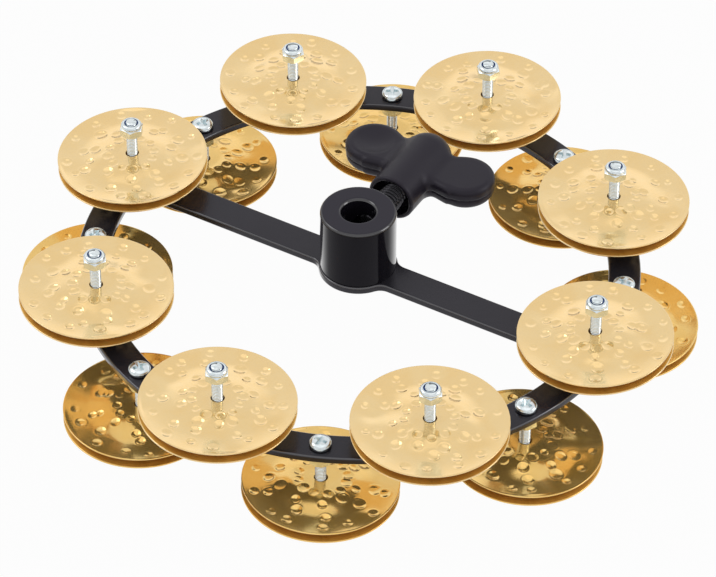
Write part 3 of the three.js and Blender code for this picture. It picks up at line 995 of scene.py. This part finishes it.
JAM_NUT_MESH = jam_nut_mesh()
LOCK_NUT_MESH = lock_nut_mesh()
NYLON_RING_MESH = nylon_ring_mesh()
for mesh in (JAM_NUT_MESH, LOCK_NUT_MESH, SHANK_MESH):
    mesh.materials.append(ZINC)
NYLON_RING_MESH.materials.append(NYLON)
print("lock nut:", len(LOCK_NUT_MESH.polygons), "faces")

# %% [markdown]
# ## Setting the hardware at the stations
# An upper screw comes up through the plate and a lower one hangs down through it, so the same pieces
# serve both: a lower station is an upper one turned over. Nobody lines the nuts up at the bench, so most
# end up at any angle. The upper lock nuts are the ones that show best, and in the picture their corners
# lie about alike, so those turn by a few degrees only.

# %% Place the screws and nuts
FLIP = Matrix.Rotation(math.pi, 4, "X")
TIP_STANDS_OUT = {"upper": 0.5 * MM, "lower": 1.7 * MM}
UPPER_NUT_TURN = 8
HARDWARE_SEED = 7


def station_matrix(level, number):
    """Puts the underside of a screw head on its face of the plate, with the thread pointing away."""
    centre = axis_of(f"{level}_screw_{number}")
    if level == "upper":
        return Matrix.Translation((centre.x, centre.y, PLATE_BOTTOM))
    return Matrix.Translation((centre.x, centre.y, PLATE_TOP)) @ FLIP


def place_hardware(level, number, random):
    screw = f"{level}_screw_{number}"
    lock_nut = f"upper_lock_nut_{number}" if level == "upper" else screw
    seat = station_matrix(level, number)

    def spin():
        return Matrix.Rotation(random.uniform(0, 2 * math.pi), 4, "Z")

    def place(name, mesh, height, turn, node):
        matrix = seat @ Matrix.Translation((0, 0, height)) @ turn
        join_frame(add_object(name, mesh, None, matrix), "frame", node)

    place(f"{screw}_head", HEAD_MESH, -SCREW_SEAT, spin() @ FLIP, screw)
    place(f"{screw}_shank", SHANK_MESH, 0, spin(), screw)
    nut_seat = PLATE_TOP - PLATE_BOTTOM + SCREW_SEAT
    place(f"{level}_jam_nut_{number}", JAM_NUT_MESH, nut_seat, spin(), screw)
    height = SCREW_LENGTH - TIP_STANDS_OUT[level] - LOCK_NUT_HEIGHT
    if level == "upper":
        turn = Matrix.Rotation(math.radians(random.uniform(-UPPER_NUT_TURN, UPPER_NUT_TURN)), 4, "Z")
    else:
        turn = spin()
    place(f"{level}_lock_nut_{number}_body", LOCK_NUT_MESH, height, turn, lock_nut)
    place(f"{level}_nylon_ring_{number}", NYLON_RING_MESH, height, turn, lock_nut)


hardware_random = np.random.default_rng(HARDWARE_SEED)
for number in STATION_NUMBERS:
    for level in ("upper", "lower"):
        place_hardware(level, number, hardware_random)
print("hardware at", 2 * len(STATION_NUMBERS), "stations")

# %% [markdown]
# ## The plate
# The frame is one steel plate, cut out and then powder coated, which rounds its edges. A flat curve with
# its outer outline, the two gaps and the holes is the natural way to draw a cut plate, and the curve's
# own bevel rounds every edge at once.

# %% Sizes of the plate
RING_WIDTH = 11.8 * MM
BAR_WIDTH = 12.8 * MM
BOSS_RADIUS = 14.6 * MM
PLATE_EDGE = 0.75 * MM
FILLET = 5 * MM
ROD_BORE = 6.25 * MM
SCREW_HOLE = 2.35 * MM


def arc_points(centre_x, centre_y, radius, start, end, steps):
    turns = np.linspace(start, end, steps + 1)
    return [(centre_x + radius * math.cos(t), centre_y + radius * math.sin(t)) for t in turns]


def full_circle(centre_x, centre_y, radius, steps):
    return arc_points(centre_x, centre_y, radius, 0, 2 * math.pi, steps)[:-1]


def gap_outline(side):
    """One D-shaped gap: fillet, inside of the ring, fillet, bar, fillet, boss, fillet, bar."""
    inner = STATION_RADIUS - RING_WIDTH / 2
    fillet_y = BAR_WIDTH / 2 + FILLET
    ring_x = math.sqrt((inner - FILLET) ** 2 - fillet_y ** 2)
    ring_turn = math.atan2(fillet_y, ring_x)
    boss_x = math.sqrt((BOSS_RADIUS + FILLET) ** 2 - fillet_y ** 2)
    boss_turn = math.atan2(fillet_y, boss_x)
    down = -math.pi / 2
    points = arc_points(ring_x, fillet_y, FILLET, down, ring_turn, steps=12)
    points += arc_points(0, 0, inner, ring_turn, math.pi - ring_turn, steps=120)[1:-1]
    points += arc_points(-ring_x, fillet_y, FILLET, math.pi - ring_turn, math.pi - down, steps=12)
    points += arc_points(-boss_x, fillet_y, FILLET, down, -boss_turn, steps=10)
    points += arc_points(0, 0, BOSS_RADIUS, math.pi - boss_turn, boss_turn, steps=24)[1:-1]
    points += arc_points(boss_x, fillet_y, FILLET, math.pi + boss_turn, math.pi - down, steps=10)
    return [(x * side, y * side) for x, y in points]


def add_outline(curve, points):
    spline = curve.splines.new("POLY")
    spline.points.add(len(points) - 1)
    for point, (x, y) in zip(spline.points, points):
        point.co = (x, y, 0, 1)
    spline.use_cyclic_u = True


# %% Cut the plate
def plate_outlines():
    outlines = [full_circle(0, 0, STATION_RADIUS + RING_WIDTH / 2, steps=240)]
    outlines += [gap_outline(1), gap_outline(-1), full_circle(0, 0, ROD_BORE, steps=48)]
    for level in ("upper", "lower"):
        for number in STATION_NUMBERS:
            centre = axis_of(f"{level}_screw_{number}")
            outlines.append(full_circle(centre.x, centre.y, SCREW_HOLE, steps=24))
    return outlines


def plate_piece():
    curve = bpy.data.curves.new("plate_outline", "CURVE")
    curve.dimensions = "2D"
    curve.fill_mode = "BOTH"
    for points in plate_outlines():
        add_outline(curve, points)
    curve.extrude = (PLATE_TOP - PLATE_BOTTOM) / 2 - PLATE_EDGE
    curve.bevel_depth = PLATE_EDGE
    curve.bevel_resolution = 3
    curve.offset = -PLATE_EDGE
    drawn = add_object("plate_curve", curve)
    mesh = applied_mesh(drawn)
    bpy.data.objects.remove(drawn)
    merge_points(mesh)
    shade(mesh)
    mesh.materials.clear()
    middle = Matrix.Translation((0, 0, (PLATE_TOP + PLATE_BOTTOM) / 2))
    plate = add_object("ring_plate", mesh, POWDER_COAT, middle)
    even_shading(plate)
    return join_frame(plate, "frame", "frame_plate")


plate = plate_piece()
print("plate:", len(plate.data.polygons), "faces, box", [round(v / MM, 1) for v in plate.dimensions], "mm")

# %% [markdown]
# ## The hub
# The hub is a turned collar with rounded edges and a softly rounded lip round its bore. The clamp
# screw's thread runs through its side, so a cross hole is cut where the screw's solid lies.

# %% Turn the hub
HUB_RADIUS = 14 * MM
HUB_EDGE = 1.3 * MM
HUB_FOOT = 0.5 * MM
HUB_ABOVE_PLATE = 0.02 * MM
LIP_WIDTH = 1.4 * MM
LIP_DEPTH = 0.8 * MM
LIP_TURN = math.radians(60)
LIP_STEPS = 8
CROSS_ROOM = 0.1 * MM
HUB_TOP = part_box("hub")[1].z
screw_low, screw_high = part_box("clamp_screw")
CLAMP_AXIS = (screw_low.z + screw_high.z) / 2
CLAMP_RADIUS = (screw_high.z - screw_low.z) / 2


def along_clamp_axis(start):
    """Lays what stands along Z on the clamp screw's axis, which runs along Y."""
    return Matrix.Translation((0, start, CLAMP_AXIS)) @ Matrix.Rotation(-math.pi / 2, 4, "X")


def cross_hole(radius, length):
    profile = [(0, 0), (radius, 0), (radius, length), (0, length)]
    return add_object("cross_hole", ring_mesh("cross_hole", profile, steps=48), None, along_clamp_axis(0))


def lip_profile():
    """The lip falls from the top face into the bore, as part of an ellipse."""
    points = []
    for step in range(LIP_STEPS + 1):
        turn = LIP_TURN * step / LIP_STEPS
        fall = (1 - math.cos(turn)) / (1 - math.cos(LIP_TURN))
        run = math.sin(turn) / math.sin(LIP_TURN)
        points.append((ROD_BORE + LIP_WIDTH * (1 - run), HUB_TOP - LIP_DEPTH * fall))
    return points


def hub_piece():
    base = PLATE_TOP + HUB_ABOVE_PLATE
    profile = [(ROD_BORE, base), (HUB_RADIUS - HUB_FOOT, base)]
    profile += corner(HUB_RADIUS - HUB_FOOT, base + HUB_FOOT, HUB_FOOT, start=-90, end=0, steps=4)[1:]
    profile += corner(HUB_RADIUS - HUB_EDGE, HUB_TOP - HUB_EDGE, HUB_EDGE, start=0, end=90, steps=8)
    profile += lip_profile() + [(ROD_BORE, base)]
    hub = add_object("hub_collar", ring_mesh("hub_collar", profile, steps=128), GLOSS_BLACK)
    carve(hub, cross_hole(CLAMP_RADIUS + CROSS_ROOM, 2 * HUB_RADIUS))
    even_shading(hub)
    return join_frame(hub, "frame", "hub")


hub = hub_piece()
print("hub:", len(hub.data.polygons), "faces")

# %% [markdown]
# ## The clamp screw
# The same thread rule makes the large screw. It lies along Y, with its coned end level with the wall
# of the bore, and it disappears into the handle.

# %% Thread the clamp screw
CLAMP_PITCH = 1.5 * MM
CLAMP_THREAD = 0.75 * MM
CLAMP_TIP = 1.2 * MM


def clamp_screw_piece():
    mesh = threaded_rod(
        "clamp_thread", CLAMP_RADIUS, 0, screw_high.y - screw_low.y, CLAMP_PITCH, CLAMP_THREAD,
        columns=48, rows_per_turn=10, first_cone=CLAMP_TIP,
    )
    piece = add_object("clamp_thread", mesh, BLACK_STEEL, along_clamp_axis(screw_low.y))
    return join_frame(piece, "clamp_screw", "clamp_screw")


clamp_screw = clamp_screw_piece()
print("clamp screw:", round(clamp_screw.dimensions.z / MM, 1), "mm long")

# %% [markdown]
# ## The wing handle
# The handle is one soft moulding: a barrel with two lobes, and every joint between them is a generous
# blend. Blends are hard to draw with flat faces, but easy with distances. Each simple form is a rule
# that gives the distance of a point to its surface, and a smooth minimum melts two forms together. The
# surface is then where the distance is zero, and a net of small squares is drawn over it.

# %% Distances to simple forms
def melt(first, second, width):
    share = np.clip(0.5 + 0.5 * (second - first) / width, 0, 1)
    return second + (first - second) * share - width * share * (1 - share)


def cut_away(form, tool, width):
    """Takes a tool out of a form, with an edge that is rounded over a width."""
    return -melt(-form, tool, width)


def box_like(across, along):
    """Distance to a corner from two distances, one across and one along."""
    outside = np.hypot(np.maximum(across, 0), np.maximum(along, 0))
    return outside + np.minimum(np.maximum(across, along), 0)


def rounded_rod(x, y, z, start, end, radius, rounding):
    across = np.hypot(x, z) - (radius - rounding)
    along = np.abs(y - (start + end) / 2) - ((end - start) / 2 - rounding)
    return box_like(across, along) - rounding


# %% Sizes of the barrel and of its hole for the screw
BARREL_RADIUS = 9.3 * MM
BARREL_LENGTH = 36 * MM
BARREL_MOUTH = 1.1 * MM
BARREL_DOME = 8.3 * MM
RECESS_RADIUS = 7.6 * MM
RECESS_MOUTH = 0.6 * MM
SCREW_IN_HANDLE = 19 * MM
wing_low, wing_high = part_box("wing_handle")


def barrel_distance(x, y, z):
    """A short round at the mouth and a long one at the domed end."""
    return np.minimum(
        rounded_rod(x, y, z, 0, BARREL_LENGTH - BARREL_DOME, BARREL_RADIUS, BARREL_MOUTH),
        rounded_rod(x, y, z, BARREL_MOUTH, BARREL_LENGTH, BARREL_RADIUS, BARREL_DOME),
    )


def recess_distance(x, y, z):
    """The hole ends where the screw goes into the moulding."""
    depth = screw_high.y - wing_low.y - SCREW_IN_HANDLE
    return np.maximum(np.hypot(x, z) - RECESS_RADIUS, y - depth)


# %% Sizes of the lobes, with their dish and the step at the parting line
LOBE_RADIUS = 11 * MM
LOBE_OFFSET = 19.3 * MM
LOBE_PLACE = 22 * MM
LOBE_HALF_THICKNESS = 4.5 * MM
LOBE_ROUND = 2.6 * MM
WEB_REACH = 17 * MM
WEB_PLACE = 20.5 * MM
WEB_HALF_WIDTH = 8.8 * MM
WEB_BLEND = 3.5 * MM
DISH_RADIUS = 7.8 * MM
DISH_DEPTH = 1.5 * MM
DISH_EDGE = 0.25 * MM
PARTING_STEP = 0.30 * MM
PARTING_GROOVE = 0.35 * MM
PARTING_WIDTH = 0.35 * MM
PARTING_ON_BARREL = 0.3
LOBE_BLEND = 3.2 * MM


def lobes_outline(x, y):
    """Flat outline of the two lobes and the web that joins them."""
    side = np.abs(x)
    lobe = np.hypot(side - LOBE_OFFSET, y - LOBE_PLACE) - LOBE_RADIUS
    web = np.maximum(side - WEB_REACH, np.abs(y - WEB_PLACE) - WEB_HALF_WIDTH)
    return melt(lobe, web, WEB_BLEND)


def dish_distance(x, y, z):
    """The thumb dish is a shallow cap of a large ball."""
    ball = (DISH_RADIUS ** 2 + DISH_DEPTH ** 2) / 2 / DISH_DEPTH
    height = LOBE_HALF_THICKNESS - DISH_DEPTH + ball
    return np.sqrt((x + LOBE_OFFSET) ** 2 + (y - LOBE_PLACE) ** 2 + (z - height) ** 2) - ball


# %% The handle as one distance
def handle_distance(points):
    """The half below the parting line is a little smaller, and a groove runs where the halves meet."""
    x, y, z = points
    inset = PARTING_STEP * (z < 0)
    groove = PARTING_GROOVE * np.exp(-((z + PARTING_WIDTH / 2) / PARTING_WIDTH) ** 2)
    outline = lobes_outline(x, y) + inset + groove
    lobes = box_like(outline + LOBE_ROUND, np.abs(z) - (LOBE_HALF_THICKNESS - LOBE_ROUND)) - LOBE_ROUND
    body = melt(barrel_distance(x, y, z) + PARTING_ON_BARREL * inset, lobes, LOBE_BLEND)
    body = cut_away(body, dish_distance(x, y, z), DISH_EDGE)
    return cut_away(body, recess_distance(x, y, z), RECESS_MOUTH)


# %% [markdown]
# The net works on a grid of small cells. A cell that the surface crosses gets one point, at the middle
# of its crossings, and every grid edge that the surface crosses joins the four cells round it with a
# face. Afterwards each point slides along the slope of the distance until it lies on the surface.

# %% Draw a net over a distance
NET_STEP = 0.42 * MM
EDGE_OF_CELL = ((0, 0), (1, 0), (1, 1), (0, 1))


def net_surface(distance, low, high, step):
    axes = [np.arange(a - 2 * step, b + 3 * step, step) for a, b in zip(low, high)]
    values = distance(np.meshgrid(*axes, indexing="ij"))
    inside = values < 0
    shape = np.array(values.shape) - 1
    total = np.zeros((*shape, 3))
    count = np.zeros(tuple(shape))
    starts = [(i, j, k) for i in (0, 1) for j in (0, 1) for k in (0, 1)]

    def part(array, offset):
        return array[tuple(slice(o, o + n) for o, n in zip(offset, shape))]

    for start in starts:
        for axis in range(3):
            if start[axis]:
                continue
            end = tuple(1 if a == axis else s for a, s in enumerate(start))
            first, second = part(values, start), part(values, end)
            crossed = part(inside, start) != part(inside, end)
            share = np.where(crossed, first / np.where(crossed, first - second, 1), 0)
            for a in range(3):
                total[..., a] += np.where(crossed, start[a] + (share if a == axis else 0), 0)
            count += crossed
    used = count > 0
    numbers = np.full(tuple(shape), -1)
    numbers[used] = np.arange(used.sum())
    origin = np.array([axis[0] for axis in axes])
    points = origin + (np.argwhere(used) + total[used] / count[used][:, None]) * step
    return points, net_faces(inside, numbers)


def net_faces(inside, numbers):
    """One face of four cells for each crossed grid edge, turned so that it looks outwards."""
    faces = []
    for axis in range(3):
        first = np.moveaxis(inside, axis, 0)
        cells = np.moveaxis(numbers, axis, 0)
        crossed = first[:-1, 1:-1, 1:-1] != first[1:, 1:-1, 1:-1]
        outward = first[:-1, 1:-1, 1:-1][crossed]
        along, left, right = np.nonzero(crossed)
        quad = np.stack([cells[along, left + a, right + b] for a, b in EDGE_OF_CELL], axis=1)
        turned = outward if axis != 1 else ~outward
        quad[~turned] = quad[~turned][:, ::-1]
        faces.append(quad)
    return np.concatenate(faces)


# %% Slide the net's points on to the surface
SLIDE_ROUNDS = 3
SLOPE_REACH = 0.05
LEAST_SLOPE = 0.25


def slide_to_surface(distance, points, step):
    """The slope is measured over a small share of a cell. Its least value keeps creases from flying off."""
    small = SLOPE_REACH * step
    for _ in range(SLIDE_ROUNDS):
        value = distance(points.T)
        slope = np.stack([
            (distance((points + small * unit).T) - distance((points - small * unit).T)) / (2 * small)
            for unit in np.eye(3)
        ], axis=1)
        length = np.maximum((slope ** 2).sum(axis=1), LEAST_SLOPE)
        points = points - np.clip(value / length, -step, step)[:, None] * slope
    return points


# %% Mould the handle
WING_ROOM = 1 * MM
WING_SHARP = math.radians(40)


def wing_piece():
    reach = wing_high.x + WING_ROOM
    low = np.array([-reach, 0, -BARREL_RADIUS])
    high = np.array([reach, BARREL_LENGTH, BARREL_RADIUS])
    points, faces = net_surface(handle_distance, low, high, NET_STEP)
    points = slide_to_surface(handle_distance, points, NET_STEP)
    mesh = make_mesh("wing_moulding", points, faces.tolist(), WING_SHARP)
    wing = add_object("wing_moulding", mesh, MOULDING, Matrix.Translation((0, wing_low.y, CLAMP_AXIS)))
    return join_frame(wing, "wing_handle", "wing_handle")


wing = wing_piece()
print("wing:", len(wing.data.polygons), "faces, box", [round(v / MM, 1) for v in wing.dimensions], "mm")
